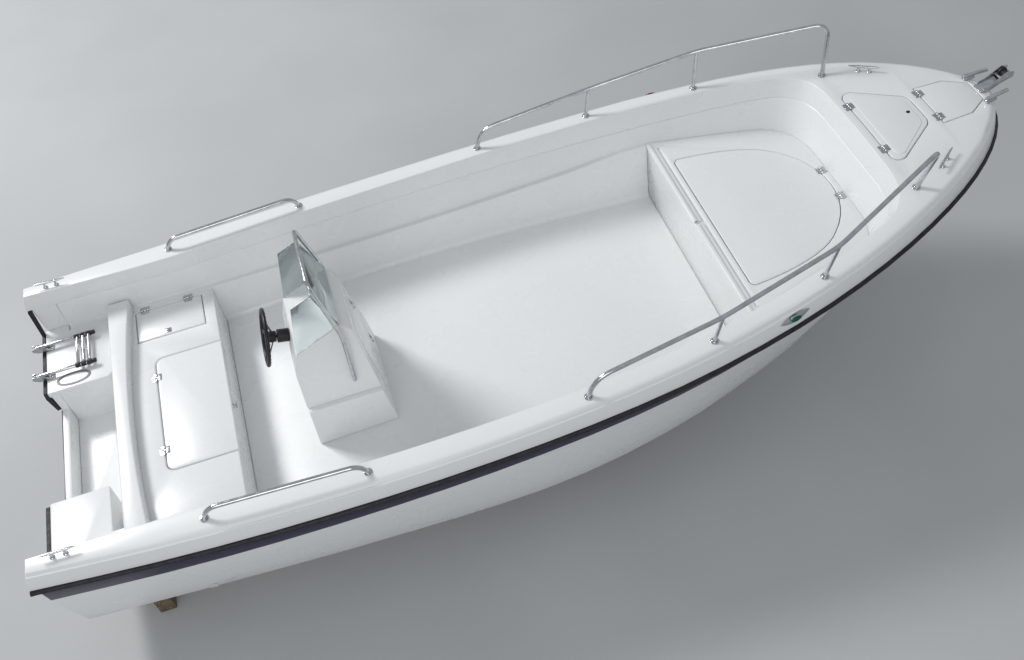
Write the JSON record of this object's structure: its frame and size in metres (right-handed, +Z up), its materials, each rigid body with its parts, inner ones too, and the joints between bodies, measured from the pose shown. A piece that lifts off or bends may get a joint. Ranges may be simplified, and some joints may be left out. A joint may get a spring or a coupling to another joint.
{
  "type": "work boat",
  "caption": "Open work boat with a V-bottom hull, centre console, locker lids, bow rails and a folding stern ladder, on timber bearers.",
  "frame": {"origin": "middle of the length and width at the ground under the timber bearers", "axes": "+X forward to the bow, +Y to port, +Z up"},
  "size_m": [5.668, 2.2458, 1.5673],
  "materials": {
    "gelcoat": "smooth gloss gelcoat",
    "navy_gelcoat": "gloss stripe",
    "black_rubber": "matt extruded rubber",
    "stainless": "polished tube and castings",
    "black_plastic": "fine grained",
    "grey_plastic": "matt",
    "white_plastic": "matt",
    "tinted_acrylic": "smoked clear sheet",
    "roller_rubber": "matt",
    "timber": "sawn and weathered"
  },
  "bodies": {
    "boat": {"hull_moulding": "gelcoat", "cockpit_liner": "gelcoat", "deck_moulding": "gelcoat", "forward_platform": "gelcoat", "aft_seat": "gelcoat", "seat_back": "gelcoat", "stern_moulding": "gelcoat", "rub_rail": "black_rubber", "hull_stripe": "navy_gelcoat", "cleats": "stainless", "grab_rails": "stainless", "bow_rails": "stainless", "nav_lights": "stainless", "hinge_bases": "stainless", "console_base": "gelcoat", "console_body": "gelcoat", "windscreen": "tinted_acrylic", "screen_frame": "stainless", "helm_hub": "black_plastic", "bow_roller_bracket": "stainless", "bow_fairleads": "stainless", "ladder_mounts": "stainless", "step_ring": "grey_plastic", "skin_fitting": "white_plastic", "bow_eye": "stainless", "timber_bearers": "timber", "timber_chocks": "timber"},
    "platform_lid": {"platform_hatch": "gelcoat", "platform_hinges": "stainless"},
    "foredeck_lid": {"foredeck_hatch": "gelcoat", "foredeck_hinges": "stainless", "hatch_lock": "black_plastic"},
    "anchor_lid": {"anchor_hatch": "gelcoat", "anchor_hinges": "stainless"},
    "seat_lid": {"seat_hatch": "gelcoat", "seat_hinges": "stainless", "seat_latch": "stainless"},
    "side_lid": {"side_locker_lid": "gelcoat", "side_locker_hinges": "stainless", "side_locker_latch": "stainless"},
    "helm": {"steering_wheel": "black_plastic"},
    "roller": {"bow_roller": "roller_rubber"},
    "ladder": {"swim_ladder": "stainless", "ladder_grips": "black_plastic"},
    "locker_door": {"console_door": "gelcoat"}
  },
  "joints": [
    {"name": "platform_lid_hinge", "type": "hinge", "parent": "boat", "child": "platform_lid", "pos_m": [1.809, 0, 0.9395], "axis": [0, 1, 0], "range_deg": [0, 85]},
    {"name": "foredeck_lid_hinge", "type": "hinge", "parent": "boat", "child": "foredeck_lid", "pos_m": [1.9829, 0, 1.28404], "axis": [0, -1, 0], "range_deg": [0, 95]},
    {"name": "anchor_lid_hinge", "type": "hinge", "parent": "boat", "child": "anchor_lid", "pos_m": [2.35297, 0, 1.31024], "axis": [0, -1, 0], "range_deg": [0, 95]},
    {"name": "seat_lid_hinge", "type": "hinge", "parent": "boat", "child": "seat_lid", "pos_m": [-2.149, 0, 0.7425], "axis": [0, -1, 0], "range_deg": [0, 100]},
    {"name": "side_lid_hinge", "type": "hinge", "parent": "boat", "child": "side_lid", "pos_m": [-2.0345, 0.815, 0.7425], "axis": [-1, 0, 0], "range_deg": [0, 90]},
    {"name": "helm_turn", "type": "hinge", "parent": "boat", "child": "helm", "pos_m": [-1.466, 0, 1.07], "axis": [0.9703, 0, -0.2419], "range_deg": [-540, 540]},
    {"name": "roller_spin", "type": "hinge", "parent": "boat", "child": "roller", "pos_m": [2.798, 0, 1.372], "axis": [0, 1, 0], "continuous": true},
    {"name": "ladder_hinge", "type": "hinge", "parent": "boat", "child": "ladder", "pos_m": [-2.82, 0, 0.778], "axis": [0, -1, 0], "range_deg": [0, 270]},
    {"name": "locker_door_hinge", "type": "hinge", "parent": "boat", "child": "locker_door", "pos_m": [-0.99224, 0.151, 1.05059], "axis": [-0.1305, 0, 0.9914], "range_deg": [0, 100]}
  ]
}
